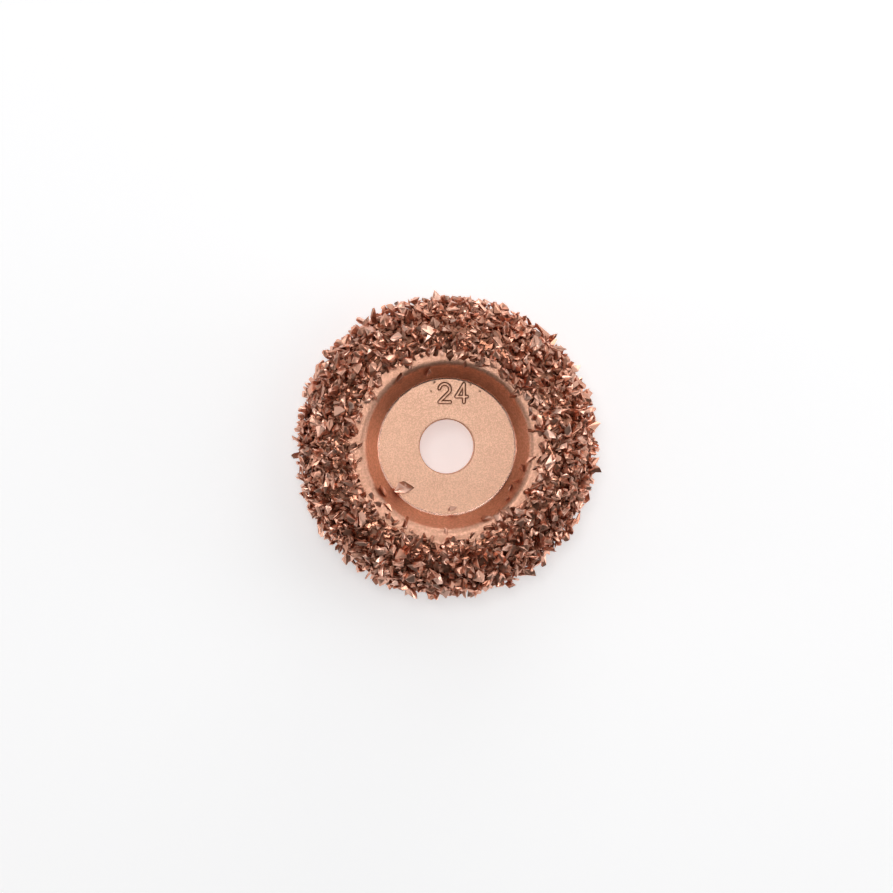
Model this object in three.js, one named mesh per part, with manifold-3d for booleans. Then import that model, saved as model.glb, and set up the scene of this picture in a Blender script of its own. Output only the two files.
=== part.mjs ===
// Carving disc for an angle grinder: a full-round steel rim brazed around a flat steel web with a
// bore, its outside coated all round with coarse carbide grit in copper braze.
// Millimetres. The origin is the bore's centre at the web's mid-plane, and +Z runs along the bore.
// A place on the rim is an azimuth around the bore and a section angle around the rim's own
// section: 0 points straight out from the bore, 90 is the front crown, 180 the middle of the foot.

import * as THREE from "three";
import { ConvexGeometry } from "three/addons/geometries/ConvexGeometry.js";
import { mergeVertices } from "three/addons/utils/BufferGeometryUtils.js";
import Module from "manifold-3d";

// Driving dimensions
const RIM_RADIUS = 18.5; // bore axis to the centre of the rim's section
const SECTION_RADIUS = 6.5; // the rim's section, which is round on its outside
const CROWN_WIDTH = 3.0; // the flat of the crown, inwards from the section's centre
const BEND_RADIUS = 1.5; // from the crown into the wall
const WALL_SLOPE = 60; // degrees, of the straight wall down to the web
const FOOT_RADIUS = 12.3; // bore axis to the upright foot of the wall, beside the web
const WEB_THICKNESS = 4;
const BORE_DIAMETER = 9.6; // 3/8 in arbor with its clearance
const BORE_CHAMFER = 0.25;
const JOINT_GAP = 0.05; // between pieces that the braze joins
const AZIMUTH_STEPS = 72;
const SECTION_STEPS = 24;

// Braze fillet in the corner between the web and the rim, in the groove that the web's bevel leaves
const WEB_BEVEL = 0.4;
const FILLET_RISE = 0.75; // up the rim's wall
const FILLET_HOLLOW = [0.12, 0.26]; // its dip, in from the rim's foot and up from the web's face

// Grit coat
const COAT_BORDER = 105; // section angle where the coat thins out to bare metal, front and back
const COAT_BORDER_WANDER = 4;
const SHOULDER_ANGLE = 40; // section angle between the tread and a shoulder
const ZONE_GAP_ANGLE = 0.7; // 0.08 mm on each side of that line
const COAT_ROW_ANGLE = 13;
const COAT_UNDERSIDE_ANGLE = 16;
const COAT_GAP = 0.15;
const COAT_THIN = 0.5;
const COAT_THICK = 2.9;
const COAT_EDGE = [0.4, 0.9]; // thickness at its border
const COAT_TOP = 8.4; // the highest grain tips, from the mid-plane
const COAT_RIM = 28; // the furthest grain tips, from the bore axis
const CELL_WANDER = 0.34; // of a cell, for the tips
const GRAIN_GAP = 0.12; // under a single grain
const GRAIN_CORNERS = 11;

// Stamped size number on the front
const DIGIT_HEIGHT = 3.2;
const DIGIT_WIDTH = 1.9;
const DIGIT_PITCH = 3.0;
const DIGIT_STROKE = 0.45;
const DIGIT_DEPTH = 0.25;
const NUMBER_CENTRE = [1.1, 9.5];

const WEB_TOP = WEB_THICKNESS / 2;
const WEB_RADIUS = FOOT_RADIUS - JOINT_GAP;

const wasm = await Module();
wasm.setup();

const steel = () => new THREE.MeshStandardMaterial({ color: 0xdfb094, roughness: 0.42, metalness: 0.9 });
const braze = () => new THREE.MeshStandardMaterial({ color: 0xe6b695, roughness: 0.3, metalness: 1.0 });
const grit = () => new THREE.MeshStandardMaterial({ color: 0x8a5a48, roughness: 0.38, metalness: 0.9 });

const radians = THREE.MathUtils.degToRad;

/** Repeatable random numbers from 0 to 1. */
function randomSource(seed) {
  let state = seed;
  return () => {
    state = (state + 0x6d2b79f5) | 0;
    let mixed = Math.imul(state ^ (state >>> 15), 1 | state);
    mixed = (mixed + Math.imul(mixed ^ (mixed >>> 7), 61 | mixed)) ^ mixed;
    return ((mixed ^ (mixed >>> 14)) >>> 0) / 4294967296;
  };
}

// The end of the bend, from the section's centre, and the straight wall from there to the foot
const BEND_END = new THREE.Vector2(
  -CROWN_WIDTH - BEND_RADIUS * Math.sin(radians(WALL_SLOPE)),
  SECTION_RADIUS - BEND_RADIUS * (1 - Math.cos(radians(WALL_SLOPE))),
);
const BEND_ARC = BEND_RADIUS * radians(WALL_SLOPE);
const WALL_RUN = (RIM_RADIUS + BEND_END.x - FOOT_RADIUS) / Math.cos(radians(WALL_SLOPE));
const FOOT_TOP = BEND_END.y - WALL_RUN * Math.sin(radians(WALL_SLOPE));
const INNER_GIRTH = CROWN_WIDTH + BEND_ARC + WALL_RUN + FOOT_TOP;

/** The section's inner half: a point and its normal, at a distance along it from the crown. */
function innerSection(distance) {
  const past = distance - CROWN_WIDTH;
  const turn = THREE.MathUtils.clamp(past / BEND_RADIUS, 0, radians(WALL_SLOPE));
  const normal = new THREE.Vector2(-Math.sin(turn), Math.cos(turn));
  if (past < BEND_ARC) {
    const bend = new THREE.Vector2(-CROWN_WIDTH, SECTION_RADIUS - BEND_RADIUS);
    const point = bend.addScaledVector(normal, BEND_RADIUS);
    point.x -= Math.min(0, past);
    return { point, normal };
  }
  const down = new THREE.Vector2(-Math.cos(radians(WALL_SLOPE)), -Math.sin(radians(WALL_SLOPE)));
  const along = Math.min(past - BEND_ARC, WALL_RUN);
  const point = BEND_END.clone().addScaledVector(down, along);
  const belowWall = past - BEND_ARC - along;
  point.y -= belowWall;
  return { point, normal: belowWall > 0 ? new THREE.Vector2(-1, 0) : normal };
}

/** The rim's section at an angle in degrees: a point from its centre, and the normal there. */
function sectionPoint(sectionAngle) {
  const turn = Math.abs(sectionAngle) > 180 ? 360 - Math.abs(sectionAngle) : Math.abs(sectionAngle);
  const front = (sectionAngle + 360) % 360 < 180 ? 1 : -1;
  const direction = new THREE.Vector2(Math.cos(radians(turn)), Math.sin(radians(turn)));
  const outer = { point: direction.clone().multiplyScalar(SECTION_RADIUS), normal: direction };
  const place = turn > 90 ? innerSection(((turn - 90) / 90) * INNER_GIRTH) : outer;
  place.point.y *= front;
  place.normal.y *= front;
  return place;
}

/** The point at a height over the rim's steel surface, angles in degrees. */
function rimPoint(azimuth, sectionAngle, height) {
  const { point, normal } = sectionPoint(sectionAngle);
  point.addScaledVector(normal, height);
  const radius = RIM_RADIUS + point.x;
  return new THREE.Vector3(
    radius * Math.cos(radians(azimuth)),
    radius * Math.sin(radians(azimuth)),
    point.y,
  );
}

/** How far from the bore axis the rim's inner wall stands at a height. */
function wallRadius(z) {
  return FOOT_RADIUS + Math.max(0, z - FOOT_TOP) / Math.tan(radians(WALL_SLOPE));
}

/** A closed profile of [radius, z] points, counter-clockwise, turned around the bore axis. */
function turned(profile) {
  const points = [...profile, profile[0]].map(([radius, z]) => new THREE.Vector2(radius, z));
  const geometry = new THREE.LatheGeometry(points, AZIMUTH_STEPS);
  return geometry.rotateX(Math.PI / 2);
}

// ---- manifold-3d: cutting ----

function toSolid(geometry) {
  const bare = geometry.clone();
  bare.deleteAttribute("normal");
  bare.deleteAttribute("uv");
  const merged = mergeVertices(bare, 1e-4);
  return new wasm.Manifold(
    new wasm.Mesh({
      numProp: 3,
      vertProperties: new Float32Array(merged.attributes.position.array),
      triVerts: new Uint32Array(merged.index.array),
    }),
  );
}

function toGeometry(solid) {
  const mesh = solid.getMesh();
  const geometry = new THREE.BufferGeometry();
  geometry.setAttribute("position", new THREE.BufferAttribute(mesh.vertProperties, 3));
  geometry.setIndex(new THREE.BufferAttribute(mesh.triVerts, 1));
  geometry.computeVertexNormals();
  return geometry;
}

// ---- The steel core ----

/** The centre lines of a 2 and a 4, in a box one digit wide and high, from its lower left. */
function digitLines() {
  const [w, h] = [DIGIT_WIDTH, DIGIT_HEIGHT];
  const bow = w / 2;
  const two = [170, 130, 90, 50, 10, -35].map((angle) => [
    bow + bow * Math.cos(radians(angle)),
    h - bow + bow * Math.sin(radians(angle)),
  ]);
  two.push([0, 0], [w, 0]);
  const foot = 0.72 * w;
  const four = [[foot, 0], [foot, h], [0, 0.3 * h], [w, 0.3 * h]];
  return [two, four];
}

/** The punch's shape: a bar along each stroke, with a round pad at each bend. */
function punchedNumber() {
  const height = 2 * DIGIT_DEPTH;
  const pieces = [];
  digitLines().forEach((line, position) => {
    const left = NUMBER_CENTRE[0] + (position - 0.5) * DIGIT_PITCH - DIGIT_WIDTH / 2;
    const low = NUMBER_CENTRE[1] - DIGIT_HEIGHT / 2;
    const ends = line.map(([x, y]) => new THREE.Vector2(left + x, low + y));
    for (const [index, end] of ends.entries()) {
      const pad = new THREE.CylinderGeometry(DIGIT_STROKE / 2, DIGIT_STROKE / 2, height, 8);
      pieces.push(pad.rotateX(Math.PI / 2).translate(end.x, end.y, WEB_TOP));
      if (index === 0) continue;
      const stroke = end.clone().sub(ends[index - 1]);
      const middle = end.clone().add(ends[index - 1]).multiplyScalar(0.5);
      const bar = new THREE.BoxGeometry(stroke.length(), DIGIT_STROKE * 0.98, height * 0.98);
      pieces.push(bar.rotateZ(stroke.angle()).translate(middle.x, middle.y, WEB_TOP));
    }
  });
  return pieces.map(toSolid).reduce((joined, piece) => joined.add(piece));
}

function webDisc() {
  const bore = BORE_DIAMETER / 2;
  const blank = turned([
    [bore, BORE_CHAMFER - WEB_TOP],
    [bore + BORE_CHAMFER, -WEB_TOP],
    [WEB_RADIUS - WEB_BEVEL, -WEB_TOP],
    [WEB_RADIUS, WEB_BEVEL - WEB_TOP],
    [WEB_RADIUS, WEB_TOP - WEB_BEVEL],
    [WEB_RADIUS - WEB_BEVEL, WEB_TOP],
    [bore + BORE_CHAMFER, WEB_TOP],
    [bore, WEB_TOP - BORE_CHAMFER],
  ]);
  return toGeometry(toSolid(blank).subtract(punchedNumber()));
}

function rimRing() {
  const profile = [];
  for (let step = 0; step < SECTION_STEPS; step += 1) {
    const { point } = sectionPoint((360 * step) / SECTION_STEPS);
    profile.push([RIM_RADIUS + point.x, point.y]);
  }
  return turned(profile);
}

/** The braze ring that fills the groove and rises in a hollow curve. side is 1 front, -1 back. */
function brazeFillet(side) {
  const bottom = WEB_TOP - WEB_BEVEL + JOINT_GAP;
  const top = WEB_TOP + FILLET_RISE;
  const inner = FOOT_RADIUS - WEB_BEVEL + JOINT_GAP / 2;
  const profile = [
    [wallRadius(bottom) - JOINT_GAP, bottom],
    [wallRadius(WEB_TOP) - JOINT_GAP, WEB_TOP],
    [wallRadius(top) - JOINT_GAP, top],
    [FOOT_RADIUS - FILLET_HOLLOW[0], WEB_TOP + FILLET_HOLLOW[1]],
    [inner, WEB_TOP + JOINT_GAP],
    [inner, WEB_TOP],
  ].map(([radius, z]) => [radius, side * z]);
  return turned(side > 0 ? profile : profile.reverse());
}

// ---- The grit coat ----

/**
 * One zone of the coat, a closed band around the rim between two section angles.
 * open lists which of its two ends, "low" or "high", is a ragged border on bare metal.
 */
function gritZone(lowAngle, highAngle, open, seed) {
  const random = randomSource(seed);
  const between = (low, high) => low + (high - low) * random();
  const rows = Math.ceil((highAngle - lowAngle) / COAT_ROW_ANGLE);
  const rowAngle = (highAngle - lowAngle) / rows;
  const under = Math.ceil((highAngle - lowAngle) / COAT_UNDERSIDE_ANGLE);
  const underAngle = (highAngle - lowAngle) / under;
  const azimuthStep = 360 / AZIMUTH_STEPS;
  const positions = [];
  for (let around = 0; around < AZIMUTH_STEPS; around += 1) {
    const azimuth = around * azimuthStep;
    const border = { low: 0, high: 0 };
    for (const end of open) border[end] = between(-COAT_BORDER_WANDER, COAT_BORDER_WANDER);
    for (let row = 0; row <= rows; row += 1) {
      const end = row === 0 ? "low" : row === rows ? "high" : "";
      const wander = end === "" ? CELL_WANDER * rowAngle : 0;
      const angle = lowAngle + row * rowAngle + between(-wander, wander) + (border[end] ?? 0);
      const across = azimuth + CELL_WANDER * azimuthStep * between(-1, 1);
      const thickness = open.includes(end)
        ? between(...COAT_EDGE)
        : COAT_THIN + (COAT_THICK - COAT_THIN) * random() ** 1.5;
      const tip = rimPoint(across, angle, COAT_GAP + thickness);
      tip.z = THREE.MathUtils.clamp(tip.z, -COAT_TOP, COAT_TOP);
      const reach = Math.hypot(tip.x, tip.y);
      const pull = Math.min(1, COAT_RIM / reach);
      positions.push(tip.x * pull, tip.y * pull, tip.z);
    }
    for (let row = under; row >= 0; row -= 1) {
      const end = row === 0 ? "low" : row === under ? "high" : "";
      const angle = lowAngle + row * underAngle + (border[end] ?? 0);
      positions.push(...rimPoint(azimuth, angle, COAT_GAP).toArray());
    }
  }
  return closedLoops(positions, rows + under + 2);
}

/**
 * Skins a ring of equal closed loops, each loop's points counter-clockwise in its own plane.
 * Neighbouring cells are split along opposite diagonals, so the facets show no swirl.
 */
function closedLoops(positions, loopLength) {
  const index = [];
  for (let around = 0; around < AZIMUTH_STEPS; around += 1) {
    const here = around * loopLength;
    const next = ((around + 1) % AZIMUTH_STEPS) * loopLength;
    for (let point = 0; point < loopLength; point += 1) {
      const after = (point + 1) % loopLength;
      if ((around + point) % 2 === 0) {
        index.push(here + point, next + point, next + after);
        index.push(here + point, next + after, here + after);
      } else {
        index.push(here + point, next + point, here + after);
        index.push(next + point, next + after, here + after);
      }
    }
  }
  const geometry = new THREE.BufferGeometry();
  geometry.setAttribute("position", new THREE.Float32BufferAttribute(positions, 3));
  geometry.setIndex(index);
  geometry.computeVertexNormals();
  return geometry;
}

// ---- Single grains that stand clear of the coat ----

/** An angular chip of carbide around the origin, longest along X, with a flat-ish underside. */
function grainShape(length, seed) {
  const random = randomSource(seed);
  const width = length * (0.5 + 0.25 * random());
  const height = length * (0.32 + 0.18 * random());
  const corners = [];
  for (let corner = 0; corner < GRAIN_CORNERS; corner += 1) {
    const turn = 2 * Math.PI * ((corner * 0.382) % 1) + 0.5 * random();
    const level = corner / (GRAIN_CORNERS - 1);
    const spread = 1 - 0.55 * level * random();
    corners.push(new THREE.Vector3(
      (length / 2) * Math.cos(turn) * spread,
      (width / 2) * Math.sin(turn) * spread,
      height * level,
    ));
  }
  return new ConvexGeometry(corners);
}

/** Sets a grain down at a place, its underside towards the surface and turned by spin degrees. */
function setDown(geometry, place, outward, along, spin) {
  const side = new THREE.Vector3().crossVectors(outward, along);
  const frame = new THREE.Matrix4().makeBasis(along, side, outward).setPosition(place);
  return geometry.rotateZ(radians(spin)).applyMatrix4(frame);
}

/** A grain on the rim's bare slope. It is lifted until its underside clears the round steel. */
function grainOnRim(azimuth, sectionAngle, length, spin, seed) {
  const centre = rimPoint(azimuth, sectionAngle, 0);
  const outward = rimPoint(azimuth, sectionAngle, 1).sub(centre);
  const along = new THREE.Vector3(-Math.sin(radians(azimuth)), Math.cos(radians(azimuth)), 0);
  const wallCurve = RIM_RADIUS + SECTION_RADIUS * Math.cos(radians(sectionAngle));
  const hollow = (length / 2) ** 2 / (2 * wallCurve);
  const place = centre.addScaledVector(outward, GRAIN_GAP + hollow);
  return setDown(grainShape(length, seed), place, outward, along, spin);
}

/** A grain that settled on the web, near its edge. */
function grainOnWeb(azimuth, radius, length, spin, seed) {
  const toSide = radians(azimuth);
  const lift = WEB_TOP + FILLET_RISE / 2;
  const place = new THREE.Vector3(radius * Math.cos(toSide), radius * Math.sin(toSide), lift);
  const along = new THREE.Vector3(-Math.sin(toSide), Math.cos(toSide), 0);
  return setDown(grainShape(length, seed), place, new THREE.Vector3(0, 0, 1), along, spin);
}

// Azimuth, section angle, length, spin: the strays on the front slope, counter-clockwise
const FRONT_STRAYS = [
  [79, 118, 1.4, 20],
  [105, 128, 1.8, 60],
  [116, 118, 1.6, 10],
  [125, 119, 1.8, 140],
  [213, 123, 2.3, 30],
  [226, 119, 2.6, 5],
  [241, 117, 2.2, 160],
  [269, 120, 1.6, 50],
  [299, 120, 1.9, 110],
  [311, 117, 1.8, 35],
  [319, 128, 1.1, 0],
  [327, 137, 1.3, 80],
  [334, 130, 1.7, 150],
  [343, 129, 1.7, 25],
  [351, 119, 1.9, 95],
  [12, 118, 1.5, 45],
  [38, 120, 1.3, 120],
];
// Azimuth, distance from the bore axis, length, spin
const WEB_STRAYS = [
  [223, 10.7, 2.9, 8],
  [276, 10.9, 1.5, 40],
];
const BACK_STRAY_COUNT = 14;

// ---- Assembly ----

const disc = new THREE.Group();

function addPiece(name, geometry, material) {
  const mesh = new THREE.Mesh(geometry, material);
  mesh.name = name;
  disc.add(mesh);
}

addPiece("web_disc", webDisc(), steel());
addPiece("rim_ring", rimRing(), steel());
addPiece("front_braze_fillet", brazeFillet(1), braze());
addPiece("back_braze_fillet", brazeFillet(-1), braze());

const treadEdge = SHOULDER_ANGLE - ZONE_GAP_ANGLE;
const shoulderEdge = SHOULDER_ANGLE + ZONE_GAP_ANGLE;
addPiece("grit_front_shoulder", gritZone(shoulderEdge, COAT_BORDER, ["high"], 11), grit());
addPiece("grit_tread", gritZone(-treadEdge, treadEdge, [], 12), grit());
addPiece("grit_back_shoulder", gritZone(-COAT_BORDER, -shoulderEdge, ["low"], 13), grit());

const twoDigits = (number) => String(number).padStart(2, "0");
FRONT_STRAYS.forEach(([azimuth, sectionAngle, length, spin], position) => {
  const shape = grainOnRim(azimuth, sectionAngle, length, spin, 100 + position);
  addPiece(`front_grain_${twoDigits(position + 1)}`, shape, grit());
});
WEB_STRAYS.forEach(([azimuth, radius, length, spin], position) => {
  const shape = grainOnWeb(azimuth, radius, length, spin, 200 + position);
  addPiece(`web_grain_${twoDigits(position + 1)}`, shape, grit());
});
const scatter = randomSource(7);
for (let position = 0; position < BACK_STRAY_COUNT; position += 1) {
  const azimuth = ((position + 0.6 * scatter()) * 360) / BACK_STRAY_COUNT;
  const sectionAngle = -117 - 16 * scatter();
  const length = 1.2 + scatter();
  const shape = grainOnRim(azimuth, sectionAngle, length, 180 * scatter(), 300 + position);
  addPiece(`back_grain_${twoDigits(position + 1)}`, shape, grit());
}

export default disc;
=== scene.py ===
"""The looks of a carbide grit carving disc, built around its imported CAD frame.

Lengths in the tables below are millimetres, and every mesh is made in metres. A place on the rim
is an azimuth around the bore and a section angle around the rim's section, in degrees: 0 points
straight out from the bore, 90 is the front crown, and 180 the middle of the wall's foot.
"""

import math

import bpy
import bmesh
import numpy as np
from mathutils import Matrix, Vector, noise


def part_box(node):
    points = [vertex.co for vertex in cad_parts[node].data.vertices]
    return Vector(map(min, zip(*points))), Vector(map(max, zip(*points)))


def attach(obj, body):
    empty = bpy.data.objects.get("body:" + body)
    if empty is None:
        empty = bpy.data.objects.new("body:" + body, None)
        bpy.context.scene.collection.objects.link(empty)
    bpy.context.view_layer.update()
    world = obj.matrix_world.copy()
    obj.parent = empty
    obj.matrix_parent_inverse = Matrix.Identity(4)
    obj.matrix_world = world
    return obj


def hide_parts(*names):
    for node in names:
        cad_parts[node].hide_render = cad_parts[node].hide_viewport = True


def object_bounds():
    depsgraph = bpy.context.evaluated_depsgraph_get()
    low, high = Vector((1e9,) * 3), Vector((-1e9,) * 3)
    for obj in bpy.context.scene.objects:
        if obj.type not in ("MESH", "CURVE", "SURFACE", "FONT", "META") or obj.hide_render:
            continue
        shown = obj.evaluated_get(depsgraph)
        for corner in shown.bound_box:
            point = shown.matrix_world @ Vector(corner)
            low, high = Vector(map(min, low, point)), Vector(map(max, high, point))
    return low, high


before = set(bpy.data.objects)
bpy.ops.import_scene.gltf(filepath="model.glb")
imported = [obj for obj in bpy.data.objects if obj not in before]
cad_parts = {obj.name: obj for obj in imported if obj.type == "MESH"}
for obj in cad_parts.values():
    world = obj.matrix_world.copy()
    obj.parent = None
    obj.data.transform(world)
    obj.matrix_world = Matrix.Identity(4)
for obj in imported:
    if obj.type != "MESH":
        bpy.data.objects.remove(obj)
CAD_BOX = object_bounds()
MM = 0.001

# ---- Sizes, from the frame where it says ----
RING_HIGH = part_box("rim_ring")[1]
WEB_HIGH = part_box("web_disc")[1]
SECTION_RADIUS = RING_HIGH.z / MM
RIM_RADIUS = RING_HIGH.x / MM - SECTION_RADIUS
WEB_TOP = WEB_HIGH.z / MM
WEB_RADIUS = WEB_HIGH.x / MM
FLOOR_Z = CAD_BOX[0].z
BORE_RADIUS = 4.8
BORE_EDGE = 0.22
CROWN_WIDTH = 3.0  # the flat of the crown, inwards from the middle of the rim's section
BEND_RADIUS = 1.5  # from the crown into the wall
WALL_SLOPE = math.radians(60)  # of the straight wall down to the web
FOOT_RADIUS = 12.3  # bore axis to the upright foot of the wall, beside the web
RIM_UNEVEN = 0.05  # how far the steel swells and dips
FILLET_REACH = 0.42  # width of the braze in the corner
FILLET_WANDER = 0.1  # and how far that width varies

# ---- The coat of grit. Its borders are section angles, in degrees ----
COAT_BORDER = 111.0  # where the coat ends, front and back
BED_BORDER = 103.0  # where the braze under it has thinned out
SHOULDER_ANGLE = 40.0  # from the tread to the shoulders
THIN_PATCH = (125, 26, 6)  # the coat ends sooner here: azimuth, reach around it, and by how much
FRINGE = 2.0  # how far single chips stray past the border, on average
BORDER_WANDER = 7
UPPER_SETBACK = 4  # how much further back the upper chips keep, for each millimetre of height
# Layers from the steel out: spacing, heights over the steel, lengths, and how far the tips lift
LAYERS = (
    (1.35, (0.1, 0.5), (1.6, 2.8), 25),
    (1.35, (0.6, 1.3), (1.6, 3.6), 40),
    (2.3, (1.2, 1.8), (2.2, 4.2), 60),
)
TEMPLATE_COUNT = 40
HALF_TURNS = [(1, 1, 1), (-1, -1, 1), (-1, 1, -1), (1, -1, -1)]
STRAY_SIZE = 1.3  # of a frame grain's diagonal
WEB_STRAY_TURNS = (75, 10)  # from the tangent
STRAY_TILT = 12
STRAY_HEIGHT = 0.8  # counts as this far over the steel, so soot and painted shade lie around its foot
STRAY_RISE = 0.12  # of its length: how far its middle is over the surface, so the rest is sunk in

# ---- Soot and painted shade ----
UNDARKENED_FROM = 1.35  # height over the steel from which a grain is free of soot and painted shade
SOOT_AND_SHADE_FADE = 1.4
WALL_SHADE = 0.35  # painted shade at the foot of the wall, strongest on one side
WALL_SHADE_TURN = 60  # azimuth of that side

# ---- The stamped size number on the front, and the small blow holes beside it ----
DIGIT_HEIGHT = 3.2
DIGIT_WIDTH = 1.9
DIGIT_PITCH = 3.0
DIGIT_STROKE = 0.5
DIGIT_DEPTH = 0.25
STAMP_SIDE = 0.16  # width of the groove's sloping sides
NUMBER_CENTRE = (1.1, 9.5)
MARKED_AZIMUTHS = (54, 110)  # the stretch of the web that holds them, meshed more finely
MARKED_RADII = (7.6, 11.9)
MARKED_STEP = 0.06
LIP_HEIGHT = 0.02
LIP_WIDTH = 0.08
# Blow holes: azimuth, distance from the bore axis, radius
PITS = [(101, 11.6, 0.2), (106, 10.2, 0.13), (59, 11.4, 0.17), (69, 11.7, 0.13)]
PIT_DEPTH = 0.12

# ---- Colours ----
COPPER = (0.83, 0.435, 0.31, 1)
COPPER_DEEP = (0.65, 0.29, 0.19, 1)
COPPER_PALE = (0.95, 0.60, 0.475, 1)
# Soot and painted shade: soot with painted shade in the grit's crevices and braze bed, painted shade at the
# wall's foot, the grooves and the blow holes
SOOT_AND_SHADE = (0.16, 0.06, 0.03, 1)
# Painted sparkle: multipliers that lighten and darken the steel's colour in fine specks, standing in for
# glints
PAINTED_SPARKLE_LOW = (0.92, 0.90, 0.88, 1)
PAINTED_SPARKLE_HIGH = (1.12, 1.14, 1.16, 1)
FLOOR_COLOUR = (0.92, 0.92, 0.93, 1)
WORLD_COLOUR = (1.0, 0.97, 0.95, 1)

# ---- Light and camera, in metres ----
# Softboxes, all at one distance: compass direction, height angle, width, height, power
LIGHT_DISTANCE = 0.6
SOFTBOXES = {
    "low_right": (0, 8, 0.28, 0.34, 0.82),
    "low_left": (180, 8, 0.28, 0.28, 0.5),
    "low_far": (75, 6, 0.4, 0.2, 0.9),
    "far_bank": (90, 35, 0.8, 0.5, 0.85),
    "high_right": (12, 46, 0.6, 0.5, 0.75),
    "high_left": (190, 42, 0.5, 0.5, 0.28),
    "overhead": (120, 80, 0.2, 0.2, 0.82),
    "near_fill": (270, 45, 0.6, 0.4, 0.06),
}
WORLD_STRENGTH = 0.05
FLOOR_GLOW = 0.42
FLOOR_HALF = 2.0
CAMERA_PLACE = Vector((-0.018, 0.010, 0.490 + WEB_TOP * MM))


# ---- Mesh helpers ----

def new_piece(name, vertices, faces, material, sharp_angle=None):
    """A mesh object from arrays in millimetres."""
    mesh = bpy.data.meshes.new(name)
    mesh.from_pydata((np.asarray(vertices) * MM).tolist(), [], faces)
    mesh.shade_smooth()
    if sharp_angle is not None:
        mesh.set_sharp_from_angle(angle=math.radians(sharp_angle))
    mesh.materials.append(material)
    piece = bpy.data.objects.new(name, mesh)
    bpy.context.collection.objects.link(piece)
    return piece


def mark(piece, name, values):
    """Gives each vertex a value that the materials can read."""
    attribute = piece.data.attributes.new(name, "FLOAT", "POINT")
    attribute.data.foreach_set("value", np.asarray(values, dtype=np.float32).ravel())


def ring_faces(around, along):
    """Quads over a grid of points that closes on itself in both directions."""
    i = np.arange(around)[:, None]
    j = np.arange(along)[None, :]
    i2 = (i + 1) % around
    j2 = (j + 1) % along
    quads = np.stack([i * along + j, i2 * along + j, i2 * along + j2, i * along + j2], axis=-1)
    return quads.reshape(-1, 4).tolist()


def sweep(azimuths, radius, height):
    """Points of a closed profile turned around the bore. radius and height are (around, along)."""
    angle = np.radians(azimuths)[:, None]
    x = radius * np.cos(angle)
    y = radius * np.sin(angle)
    return np.stack([x, y, np.broadcast_to(height, x.shape)], axis=-1)


def rough(points, scale, seed):
    """Smooth noise from -1 to 1 at each point, with features about scale millimetres across."""
    flat = (points.reshape(-1, 3) / scale) + seed * 17.3
    values = [noise.fractal(Vector(p), 1.0, 2.0, 3) for p in flat]
    return np.array(values).reshape(points.shape[:-1])


# ---- Materials ----

class Nodes:
    """A short way to write a material's node tree."""

    def __init__(self, name):
        self.material = bpy.data.materials.new(name)
        self.material.use_nodes = True
        self.tree = self.material.node_tree
        self.shader = self.tree.nodes["Principled BSDF"]
        self.place = self.add("ShaderNodeTexCoord").outputs["Object"]

    def add(self, kind, **settings):
        node = self.tree.nodes.new(kind)
        for key, value in settings.items():
            setattr(node, key, value)
        return node

    def link(self, source, target):
        self.tree.links.new(source, target)

    def noise(self, size_mm, detail=3.0, roughness=0.55):
        node = self.add("ShaderNodeTexNoise")
        node.inputs["Scale"].default_value = 1 / (size_mm * MM)
        node.inputs["Detail"].default_value = detail
        node.inputs["Roughness"].default_value = roughness
        self.link(self.place, node.inputs["Vector"])
        return node.outputs["Fac"]

    def ramp(self, factor, stops):
        node = self.add("ShaderNodeValToRGB")
        elements = node.color_ramp.elements
        while len(elements) < len(stops):
            elements.new(0.5)
        for element, (position, colour) in zip(elements, stops):
            element.position = position
            element.color = colour
        self.link(factor, node.inputs["Fac"])
        return node.outputs["Color"]

    def value(self, name):
        """A mesh attribute. It reads as 0 on a mesh without it."""
        return self.add("ShaderNodeAttribute", attribute_name=name).outputs["Fac"]

    def mix(self, factor, colour, other):
        """A colour output that turns to another, fixed colour as the factor goes to 1."""
        node = self.add("ShaderNodeMixRGB")
        self.link(factor, node.inputs["Fac"])
        self.link(colour, node.inputs["Color1"])
        node.inputs["Color2"].default_value = other
        return node.outputs["Color"]

    def multiply(self, colour, other):
        node = self.add("ShaderNodeMixRGB", blend_type="MULTIPLY")
        node.inputs["Fac"].default_value = 1
        self.link(colour, node.inputs["Color1"])
        self.link(other, node.inputs["Color2"])
        return node.outputs["Color"]

    def span(self, factor, low, high):
        node = self.add("ShaderNodeMapRange")
        node.inputs["To Min"].default_value = low
        node.inputs["To Max"].default_value = high
        self.link(factor, node.inputs["Value"])
        return node.outputs["Result"]

    def bump(self, height, strength, distance_mm, base=None):
        node = self.add("ShaderNodeBump")
        node.inputs["Strength"].default_value = strength
        node.inputs["Distance"].default_value = distance_mm * MM
        self.link(height, node.inputs["Height"])
        if base is not None:
            self.link(base, node.inputs["Normal"])
        return node.outputs["Normal"]


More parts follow.
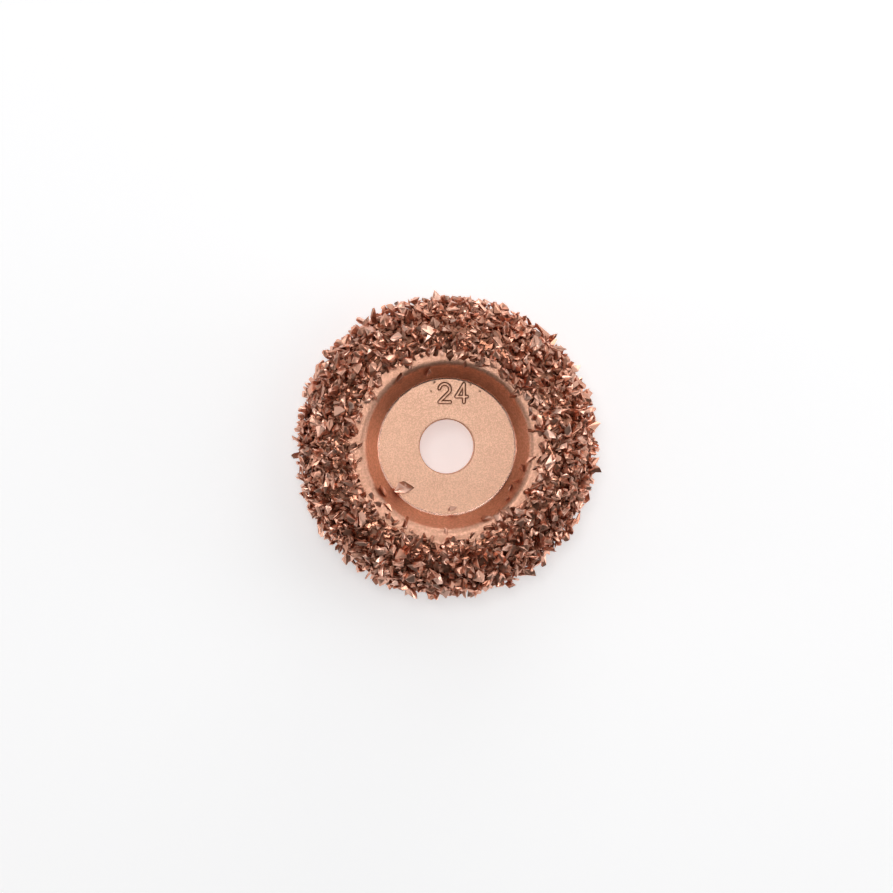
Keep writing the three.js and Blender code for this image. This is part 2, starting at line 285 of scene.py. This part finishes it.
def coated_steel(name, dark, light, grain):
    """Bead-blasted steel under a thin flash of copper: an even satin, with painted sparkle specks standing
    in for fine glints, and painted shade where a mesh marks it.
    """
    m = Nodes(name)
    m.shader.inputs["Metallic"].default_value = 1.0
    patches = m.noise(4.0, 4.0)
    tint = m.ramp(patches, [(0.25, dark), (0.75, light)])
    # Painted sparkle: specks of lighter and darker colour that stand in for glints
    painted_sparkle = m.ramp(m.noise(grain, 1.0), [(0.40, PAINTED_SPARKLE_LOW), (0.64, PAINTED_SPARKLE_HIGH)])
    tint = m.multiply(tint, painted_sparkle)
    # Painted shade where the mesh marks it: the wall's foot, the stamped grooves' sides and the blow holes
    m.link(m.mix(m.value("soot_and_shade"), tint, SOOT_AND_SHADE), m.shader.inputs["Base Color"])
    m.link(m.span(m.noise(0.5, 3.0), 0.32, 0.5), m.shader.inputs["Roughness"])
    blast = m.bump(m.noise(0.2, 2.0, 0.6), 0.9, 0.065)
    m.link(m.bump(patches, 0.3, 0.15, blast), m.shader.inputs["Normal"])
    return m.material


def copper_braze(name, dark, light):
    """Braze that flowed and froze: smoother and brighter than the blasted steel."""
    m = Nodes(name)
    m.shader.inputs["Metallic"].default_value = 1.0
    m.link(m.ramp(m.noise(1.5), [(0.3, dark), (0.7, light)]), m.shader.inputs["Base Color"])
    m.link(m.span(m.noise(0.6), 0.18, 0.34), m.shader.inputs["Roughness"])
    m.link(m.bump(m.noise(0.3, 2.0), 0.4, 0.02), m.shader.inputs["Normal"])
    return m.material


def brazed_carbide():
    """Angular carbide under a skin of copper braze: a tint for each grain, and soot with painted shade
    between them.
    """
    m = Nodes("brazed_carbide")
    m.shader.inputs["Metallic"].default_value = 1.0
    tint = m.ramp(m.value("tint"), [(0.0, COPPER_DEEP), (0.5, COPPER), (1.0, COPPER_PALE)])
    # Soot with painted shade: the chips darken the lower they sit over the steel
    m.link(m.mix(m.value("soot_and_shade"), tint, SOOT_AND_SHADE), m.shader.inputs["Base Color"])
    m.link(m.span(m.noise(0.5), 0.2, 0.42), m.shader.inputs["Roughness"])
    m.link(m.bump(m.noise(0.4, 3.0, 0.6), 0.5, 0.05), m.shader.inputs["Normal"])
    return m.material


STEEL = coated_steel("coated_steel", (0.80, 0.465, 0.32, 1), (0.86, 0.52, 0.365, 1), 0.24)
# Painted reflection: the rim's copy of the coated steel is redder and a little darker than the web's,
# standing in for light bounced between the copper walls
RIM_STEEL_BOUNCE_TINTED = coated_steel("coated_rim_bounce_tinted", (0.79, 0.42, 0.287, 1), (0.85, 0.47, 0.33, 1), 0.42)
BRAZE = copper_braze("copper_braze", COPPER, COPPER_PALE)
# Soot with painted shade: the bed's dark colour stands in for the shade between the grains
SOOTY_SHADED_BRAZE = copper_braze("sooty_shaded_braze", SOOT_AND_SHADE, COPPER_DEEP)
CARBIDE = brazed_carbide()


# ---- The web ----

def digit_lines():
    """Centre lines of a 2 and a 4, in a box one digit wide and high, from its lower left."""
    bow = DIGIT_WIDTH / 2
    two = [
        (bow + bow * math.cos(math.radians(a)), DIGIT_HEIGHT - bow + bow * math.sin(math.radians(a)))
        for a in range(170, -40, -15)
    ]
    two += [(0, 0), (DIGIT_WIDTH, 0)]
    foot = 0.72 * DIGIT_WIDTH
    low = 0.3 * DIGIT_HEIGHT
    four = [(foot, 0), (foot, DIGIT_HEIGHT), (0, low), (DIGIT_WIDTH, low)]
    return [two, four]


def number_strokes():
    """Every stroke of the number as a pair of end points on the web."""
    strokes = []
    for position, line in enumerate(digit_lines()):
        left = NUMBER_CENTRE[0] + (position - 0.5) * DIGIT_PITCH - DIGIT_WIDTH / 2
        low = NUMBER_CENTRE[1] - DIGIT_HEIGHT / 2
        ends = [np.array([left + x, low + y]) for x, y in line]
        strokes += list(zip(ends, ends[1:]))
    return strokes


def stamp_distance(x, y):
    """How far each place on the web is from the nearest stroke's centre line."""
    place = np.stack([x, y], axis=-1)
    nearest = np.full(x.shape, 99.0)
    for start, end in number_strokes():
        run = end - start
        share = np.clip((place - start) @ run / (run @ run), 0, 1)
        away = np.linalg.norm(place - (start + share[..., None] * run), axis=-1)
        nearest = np.minimum(nearest, away)
    return nearest


def stamp_height(nearest):
    """Height of the stamped number: a flat-bottomed groove with sloping sides and a faint lip."""
    groove = np.clip((DIGIT_STROKE / 2 - nearest) / STAMP_SIDE + 0.5, 0, 1)
    lip = np.exp(-(((nearest - DIGIT_STROKE / 2 - STAMP_SIDE) / LIP_WIDTH) ** 2))
    return -DIGIT_DEPTH * groove + LIP_HEIGHT * lip


def stamp_shade(nearest):
    """Painted shade along the groove's sides, from 0 to 1."""
    return 0.85 * np.exp(-(((nearest - DIGIT_STROKE / 2) / (0.7 * STAMP_SIDE)) ** 2))


def pit_depth(x, y):
    """From 0 on the flat face to 1 at the middle of a pit."""
    depth = np.zeros(x.shape)
    for azimuth, radius, size in PITS:
        turn = math.radians(azimuth)
        away = np.hypot(x - radius * math.cos(turn), y - radius * math.sin(turn))
        depth += np.exp(-1.5 * (away / size) ** 2)
    return np.clip(depth, 0, 1)


def web_piece():
    """The web turned around the bore, with finer steps where the number and the pits are."""
    start, end = MARKED_AZIMUTHS
    azimuths = np.concatenate([np.arange(start, end, 0.35), np.arange(end, start + 360, 1.6)])
    arc = np.radians(np.linspace(0, 90, 5))
    round_r = BORE_RADIUS + BORE_EDGE * (1 - np.cos(arc))
    round_z = WEB_TOP - BORE_EDGE * (1 - np.sin(arc))
    face_r = np.concatenate([
        np.linspace(BORE_RADIUS + BORE_EDGE, MARKED_RADII[0], 12)[1:],
        np.arange(MARKED_RADII[0] + MARKED_STEP, MARKED_RADII[1], MARKED_STEP),
        [WEB_RADIUS],
    ])
    top = [np.concatenate([round_r, face_r]), np.concatenate([round_z, np.full(len(face_r), WEB_TOP)])]
    back_r = np.linspace(WEB_RADIUS, BORE_RADIUS + BORE_EDGE, 16)
    bottom = [np.concatenate([back_r, round_r[::-1][1:]]),
              np.concatenate([np.full(16, -WEB_TOP), -round_z[::-1][1:]])]
    # The section runs out along the back, in along the front, and down the bore
    radius = np.concatenate([bottom[0][::-1], top[0][::-1]])
    height = np.concatenate([bottom[1][::-1], top[1][::-1]])
    points = sweep(azimuths, np.tile(radius, (len(azimuths), 1)), height)
    on_top = np.isclose(height, WEB_TOP)
    x, y = points[:, on_top, 0], points[:, on_top, 1]
    nearest = stamp_distance(x, y)
    pits = pit_depth(x, y)
    points[:, on_top, 2] += stamp_height(nearest) - PIT_DEPTH * pits
    soot_and_shade = np.zeros(points.shape[:2])
    # Painted shade in the blow holes and along the grooves' sides
    soot_and_shade[:, on_top] = np.maximum(stamp_shade(nearest), 0.8 * pits)
    faces = ring_faces(len(azimuths), len(radius))
    piece = new_piece("web", points.reshape(-1, 3), faces, STEEL, sharp_angle=40)
    mark(piece, "soot_and_shade", soot_and_shade)
    return piece


# ---- The rim and the braze in its corner ----

BEND_END = (CROWN_WIDTH + BEND_RADIUS * math.sin(WALL_SLOPE),
            SECTION_RADIUS - BEND_RADIUS * (1 - math.cos(WALL_SLOPE)))
BEND_ARC = BEND_RADIUS * WALL_SLOPE
WALL_RUN = (RIM_RADIUS - BEND_END[0] - FOOT_RADIUS) / math.cos(WALL_SLOPE)
FOOT_TOP = BEND_END[1] - WALL_RUN * math.sin(WALL_SLOPE)
INNER_GIRTH = CROWN_WIDTH + BEND_ARC + WALL_RUN + FOOT_TOP


def inner_section(distance):
    """The section's inner half, at distances along it from the crown: place and normal, inward and up."""
    past = distance - CROWN_WIDTH
    turn = np.clip(past / BEND_RADIUS, 0, WALL_SLOPE)
    along = np.clip(past - BEND_ARC, 0, WALL_RUN)
    below = np.maximum(past - BEND_ARC - WALL_RUN, 0)
    inward = CROWN_WIDTH + np.minimum(past, 0) + BEND_RADIUS * np.sin(turn) + along * math.cos(WALL_SLOPE)
    up = SECTION_RADIUS - BEND_RADIUS * (1 - np.cos(turn)) - along * math.sin(WALL_SLOPE) - below
    turn = np.where(below > 0, math.pi / 2, turn)
    return inward, up, np.sin(turn), np.cos(turn)


def section_point(section):
    """The rim's section from its centre, outward and up, and its unit normal. Section in degrees.

    Outside, the section is round. Beside the web it is a flat crown, a bend, and a straight wall.
    """
    turn = np.abs((np.asarray(section) + 180) % 360 - 180)
    front = np.where(np.asarray(section) % 360 < 180, 1, -1)
    inward, up, normal_in, normal_up = inner_section((turn - 90) / 90 * INNER_GIRTH)
    cos, sin = np.cos(np.radians(turn)), np.sin(np.radians(turn))
    inner = turn > 90
    return (
        np.where(inner, -inward, SECTION_RADIUS * cos),
        np.where(inner, up, SECTION_RADIUS * sin) * front,
        np.where(inner, -normal_in, cos),
        np.where(inner, normal_up, sin) * front,
    )


def wall_radius(z):
    return FOOT_RADIUS + max(0, z - FOOT_TOP) / math.tan(WALL_SLOPE)


def rim_piece():
    """The bare steel ring, slightly uneven, with painted shade towards the foot of its walls, strongest on
    one side.
    """
    around, along = 300, 180
    azimuths = np.arange(around) * 360 / around
    out, up, _, _ = section_point((np.arange(along) + 0.5) * 360 / along)
    points = sweep(azimuths, np.tile(RIM_RADIUS + out, (around, 1)), up)
    radius = RIM_RADIUS + out + RIM_UNEVEN * rough(points, 2.0, 21)
    surface = sweep(azimuths, radius, up)
    piece = new_piece("rim", surface.reshape(-1, 3), ring_faces(around, along), RIM_STEEL_BOUNCE_TINTED)
    # Painted shade at the wall's foot, strongest at one azimuth and patchy
    shaded_side = 0.5 + 0.5 * np.cos(np.radians(azimuths - WALL_SHADE_TURN))[:, None]
    depth = np.clip((BEND_END[1] - np.abs(up)) / (BEND_END[1] - WEB_TOP), 0, 1)
    patches = 1 + 0.5 * rough(points, 3.0, 22)
    inside = out < -CROWN_WIDTH
    mark(piece, "soot_and_shade", np.clip(WALL_SHADE * shaded_side * depth * patches * inside, 0, 1))
    return piece


def fillet_piece(name, side, seed):
    """The hollow braze fillet in the corner. Its width wanders a little around the web."""
    around = 360
    azimuths = np.arange(around) * 360 / around
    circle = sweep(azimuths, np.full((around, 1), WEB_RADIUS), np.array([WEB_TOP]))
    wander = rough(circle, 3.0, seed)[:, 0]
    reach = FILLET_REACH + FILLET_WANDER * wander
    turn = np.linspace(0, math.pi / 2, 9)
    foot = wall_radius(WEB_TOP) + 0.04
    radius = foot - reach[:, None] * (1 - np.sin(turn))
    height = WEB_TOP + 0.004 + 0.9 * reach[:, None] * (1 - np.cos(turn))
    radius = np.concatenate([radius, np.full((around, 1), foot + 0.2), foot - 0.1 - reach[:, None]], axis=1)
    height = np.concatenate([height, np.full((around, 2), WEB_TOP - 0.3)], axis=1)
    points = sweep(azimuths, radius, height * side)
    faces = ring_faces(around, radius.shape[1])
    if side > 0:
        faces = [face[::-1] for face in faces]
    return new_piece(name, points.reshape(-1, 3), faces, BRAZE)


# ---- The grit ----

def chip_template(seed):
    """One carbide chip about 2 long centred on the origin: an angular shard with worn edges."""
    rng = np.random.default_rng(seed)
    shape = bmesh.new()
    stretch = np.array([1.0, rng.uniform(0.4, 0.68), rng.uniform(0.28, 0.52)])
    for _ in range(int(rng.integers(7, 11))):
        direction = rng.normal(size=3)
        direction /= np.linalg.norm(direction)
        direction = np.sign(direction) * np.abs(direction) ** 0.8
        shape.verts.new(direction * stretch * rng.uniform(0.7, 1.15))
    made = bmesh.ops.convex_hull(shape, input=shape.verts)
    spare = [v for v in made["geom_interior"] + made["geom_unused"] if isinstance(v, bmesh.types.BMVert)]
    bmesh.ops.delete(shape, geom=list(set(spare)), context="VERTS")
    bmesh.ops.bevel(
        shape, geom=list(shape.edges), offset=0.035, segments=1, affect="EDGES", profile=0.5,
        clamp_overlap=True,
    )
    big = [f for f in shape.faces if f.calc_area() > 0.15]
    poked = bmesh.ops.poke(shape, faces=big)
    for vertex in poked["verts"]:
        vertex.co -= vertex.normal * rng.uniform(-0.02, 0.1)
    bmesh.ops.triangulate(shape, faces=list(shape.faces))
    bmesh.ops.recalc_face_normals(shape, faces=list(shape.faces))
    vertices = np.array([v.co[:] for v in shape.verts])
    faces = np.array([[v.index for v in f.verts] for f in shape.faces])
    shape.free()
    return vertices, faces


TEMPLATES = [chip_template(1000 + i) for i in range(TEMPLATE_COUNT)]


def rim_frame(azimuth, section):
    """The surface point of the rim, its outward normal and the two directions along it."""
    a = np.radians(azimuth)
    out, up, normal_out, normal_up = section_point(section)
    outward = np.stack([normal_out * np.cos(a), normal_out * np.sin(a), normal_up], axis=-1)
    tangent = np.stack([-np.sin(a), np.cos(a), np.zeros_like(a)], axis=-1)
    across = np.cross(outward, tangent)
    radius = RIM_RADIUS + out
    point = np.stack([radius * np.cos(a), radius * np.sin(a), up + np.zeros_like(a)], axis=-1)
    return point, outward, tangent, across


def turn_about(axis, angle):
    return np.array(Matrix.Rotation(angle, 3, Vector(axis)))


def rim_seat(azimuth, section, height):
    """A place over the rim's steel, with its axes: along the rim, across it, and outward."""
    point, outward, tangent, across = rim_frame(azimuth, np.asarray(section))
    return point + outward * height, np.stack([tangent, across, outward], axis=1)


def place_chips(name, seats, rng):
    """Joins one chip for each seat: place, axes, length, turn, lift of its tip, height over the steel."""
    vertices, faces, tints, soot_and_shade_levels = [], [], [], []
    start = 0
    for place, axes, length, turn, lift, height in seats:
        shape, triangles = TEMPLATES[rng.integers(len(TEMPLATES))]
        spin = turn_about((0, 0, 1), math.radians(turn))
        lean = turn_about((0, 1, 0), math.radians(lift))
        roll = turn_about((1, 0, 0), math.radians(rng.normal(0, 0.7 * abs(lift))))
        half_turn = np.diag(HALF_TURNS[rng.integers(len(HALF_TURNS))])
        matrix = axes @ spin @ lean @ roll @ half_turn
        offset = shape @ matrix.T * (length / 2)
        vertices.append(offset + place)
        faces.append(triangles + start)
        start += len(shape)
        tints.append(np.full(len(shape), rng.beta(2.0, 2.0)))
        rise = height + offset @ axes[:, 2]
        # Soot with painted shade: darker the lower a point stands over the steel
        soot_and_shade_levels.append(np.clip(1 - rise / UNDARKENED_FROM, 0, 1) ** SOOT_AND_SHADE_FADE)
    piece = new_piece(
        name, np.concatenate(vertices), np.concatenate(faces).tolist(), CARBIDE, sharp_angle=22,
    )
    mark(piece, "tint", np.concatenate(tints))
    mark(piece, "soot_and_shade", np.concatenate(soot_and_shade_levels))
    return piece


def past_border(azimuth, section, height):
    """How far a chip is past the coat's ragged border, which the upper chips keep further back from."""
    a = math.radians(azimuth)
    side = 0.3 if section > 0 else 9.1
    wander = noise.fractal(Vector((4 * math.cos(a), 4 * math.sin(a), side)), 1, 2, 3)
    centre, reach, drop = THIN_PATCH
    thin = drop * math.exp(-(((azimuth - centre) / reach) ** 2))
    setback = UPPER_SETBACK * max(0.0, height - 0.5)
    return abs(section) - COAT_BORDER - BORDER_WANDER * wander + thin + setback


def scatter(low, high, spacing, rng):
    """Jittered azimuths and section angles over a band of the rim, about spacing apart."""
    places = []
    rows = max(1, round(math.radians(high - low) * SECTION_RADIUS / spacing))
    for row in range(rows):
        section = low + (row + 0.5) * (high - low) / rows
        radius = RIM_RADIUS + SECTION_RADIUS * math.cos(math.radians(section))
        count = round(2 * math.pi * radius / spacing)
        for step in range(count):
            azimuth = (step + 0.5 * (row % 2) + rng.uniform(-0.45, 0.45)) * 360 / count
            jitter = rng.uniform(-0.45, 0.45) * (high - low) / rows
            places.append((azimuth, section + jitter))
    return places


def coat_seats(low, high, rng):
    """Seats for three layers of chips: bedded, main and proud."""
    seats = []
    for spacing, heights, lengths, lift in LAYERS:
        for azimuth, section in scatter(low, high, spacing, rng):
            length = lengths[0] + (lengths[1] - lengths[0]) * rng.beta(1.6, 2.4)
            height = rng.uniform(*heights)
            if past_border(azimuth, section, height) < FRINGE * rng.exponential():
                place, axes = rim_seat(azimuth, section, height)
                turn = rng.uniform(0, 360)
                seats.append((place, axes, length, turn, rng.normal(0, lift), height))
    return seats


def slope_angle(inward):
    """The section angle on the bend or the wall, at a distance inward from the crown's middle."""
    if inward > BEND_END[0]:
        past = BEND_ARC + (inward - BEND_END[0]) / math.cos(WALL_SLOPE)
    else:
        past = BEND_RADIUS * math.asin((inward - CROWN_WIDTH) / BEND_RADIUS)
    return 90 + 90 * (CROWN_WIDTH + past) / INNER_GIRTH


def stray_seats(prefix, on_web, rng):
    """Seats at the frame's single grains, sunk a little so that the braze holds them."""
    seats = []
    nodes = sorted(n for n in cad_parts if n.startswith(prefix))
    for number, node in enumerate(nodes):
        low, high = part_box(node)
        centre = np.array((low + high) / 2) / MM
        length = STRAY_SIZE * (high - low).length / MM
        azimuth = math.degrees(math.atan2(centre[1], centre[0]))
        inward = RIM_RADIUS - math.hypot(centre[0], centre[1])
        section = math.copysign(slope_angle(inward), centre[2])
        if on_web:
            _, axes = rim_seat(azimuth, 90, 0)
            place = np.array([centre[0], centre[1], WEB_TOP + STRAY_RISE * length])
            turn = WEB_STRAY_TURNS[number]
        else:
            place, axes = rim_seat(azimuth, section, STRAY_RISE * length)
            turn = rng.normal(90, 35)
        seats.append((place, axes, length, turn, STRAY_TILT, STRAY_HEIGHT))
    return seats


def bed_piece():
    """The braze that the grains stand in: a lumpy skin over the steel under the coat, darkened with soot
    and painted shade.
    """
    around, along = 360, 90
    azimuths = np.arange(around) * 360 / around
    section = np.linspace(-BED_BORDER, BED_BORDER, along)
    flat_a, flat_s = np.meshgrid(azimuths, section, indexing="ij")
    point, outward, _, _ = rim_frame(flat_a, flat_s)
    fade = np.clip((BED_BORDER - 1 - np.abs(flat_s)) / 8, 0, 1)
    swell = 0.25 + 0.3 * rough(point, 1.2, 5)
    outer = point + outward * (np.clip(swell, 0.05, 0.7) * fade - 0.03)[..., None]
    inner = point - outward * 0.3
    loop = np.concatenate([outer, inner[:, ::-1]], axis=1)
    return new_piece("braze_bed", loop.reshape(-1, 3), ring_faces(around, loop.shape[1]), SOOTY_SHADED_BRAZE)


web = web_piece()
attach(web, "root")
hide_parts("web_disc")

rim = rim_piece()
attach(rim, "root")
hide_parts("rim_ring")

for side, label in ((1, "front"), (-1, "back")):
    fillet = fillet_piece(f"fillet_{label}", side, 3 + side)
    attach(fillet, "root")
    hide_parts(f"{label}_braze_fillet")

bed = bed_piece()
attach(bed, "root")

ZONES = [
    ("grains_front_shoulder", SHOULDER_ANGLE, COAT_BORDER + 8, "grit_front_shoulder"),
    ("grains_tread_front", 0, SHOULDER_ANGLE, "grit_tread"),
    ("grains_tread_back", -SHOULDER_ANGLE, 0, "grit_tread"),
    ("grains_back_shoulder", -COAT_BORDER - 8, -SHOULDER_ANGLE, "grit_back_shoulder"),
]
for position, (name, low, high, node) in enumerate(ZONES):
    rng = np.random.default_rng(50 + position)
    piece = place_chips(name, coat_seats(low, high, rng), rng)
    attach(piece, "root")
    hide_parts(node)

STRAYS = [
    ("stray_front_grains", "front_grain_", False),
    ("stray_back_grains", "back_grain_", False),
    ("stray_web_grains", "web_grain_", True),
]
for position, (name, prefix, on_web) in enumerate(STRAYS):
    rng = np.random.default_rng(80 + position)
    strays = place_chips(name, stray_seats(prefix, on_web, rng), rng)
    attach(strays, "root")
    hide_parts(*[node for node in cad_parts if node.startswith(prefix)])


# ---- Floor, light and camera ----

def plain_floor():
    mesh = bpy.data.meshes.new("floor")
    corners = [(-1, -1), (1, -1), (1, 1), (-1, 1)]
    mesh.from_pydata([(x * FLOOR_HALF, y * FLOOR_HALF, FLOOR_Z) for x, y in corners], [], [(0, 1, 2, 3)])
    floor = bpy.data.objects.new("floor", mesh)
    bpy.context.collection.objects.link(floor)
    m = Nodes("floor_white")
    m.shader.inputs["Base Color"].default_value = FLOOR_COLOUR
    m.shader.inputs["Roughness"].default_value = 0.9
    m.shader.inputs["Specular IOR Level"].default_value = 0.1
    m.shader.inputs["Emission Color"].default_value = (1, 1, 1, 1)
    m.shader.inputs["Emission Strength"].default_value = FLOOR_GLOW
    mesh.materials.append(m.material)


def softbox(name, compass, height_angle, width, height, power):
    light = bpy.data.lights.new(name, "AREA")
    light.shape = "RECTANGLE"
    light.size, light.size_y = width, height
    light.energy = power
    lamp = bpy.data.objects.new(name, light)
    turn, lift = math.radians(compass), math.radians(height_angle)
    level = math.cos(lift)
    towards = Vector((math.cos(turn) * level, math.sin(turn) * level, math.sin(lift)))
    lamp.location = towards * LIGHT_DISTANCE
    lamp.rotation_euler = (-towards).to_track_quat("-Z", "Y").to_euler()
    lamp.visible_camera = False
    bpy.context.collection.objects.link(lamp)


plain_floor()
for name, setting in SOFTBOXES.items():
    softbox(name, *setting)

world = bpy.data.worlds.new("studio")
bpy.context.scene.world = world
world.use_nodes = True
world.node_tree.nodes["Background"].inputs["Color"].default_value = WORLD_COLOUR
world.node_tree.nodes["Background"].inputs["Strength"].default_value = WORLD_STRENGTH


def overhead_camera():
    """Looks at the bore from nearly straight above, with the number at the top of the picture."""
    camera_data = bpy.data.cameras.new("camera")
    camera_data.sensor_width = 36
    camera_data.lens = 111.8
    camera_data.clip_start = 0.01
    camera_data.clip_end = 10
    camera = bpy.data.objects.new("camera", camera_data)
    back = CAMERA_PLACE.normalized()
    right = Vector((0, 1, 0)).cross(back).normalized()
    turn = Matrix((right, back.cross(right), back)).transposed().to_4x4()
    camera.matrix_world = Matrix.Translation(CAMERA_PLACE) @ turn
    bpy.context.collection.objects.link(camera)
    bpy.context.scene.camera = camera


overhead_camera()
bpy.context.scene.view_settings.view_transform = "Standard"
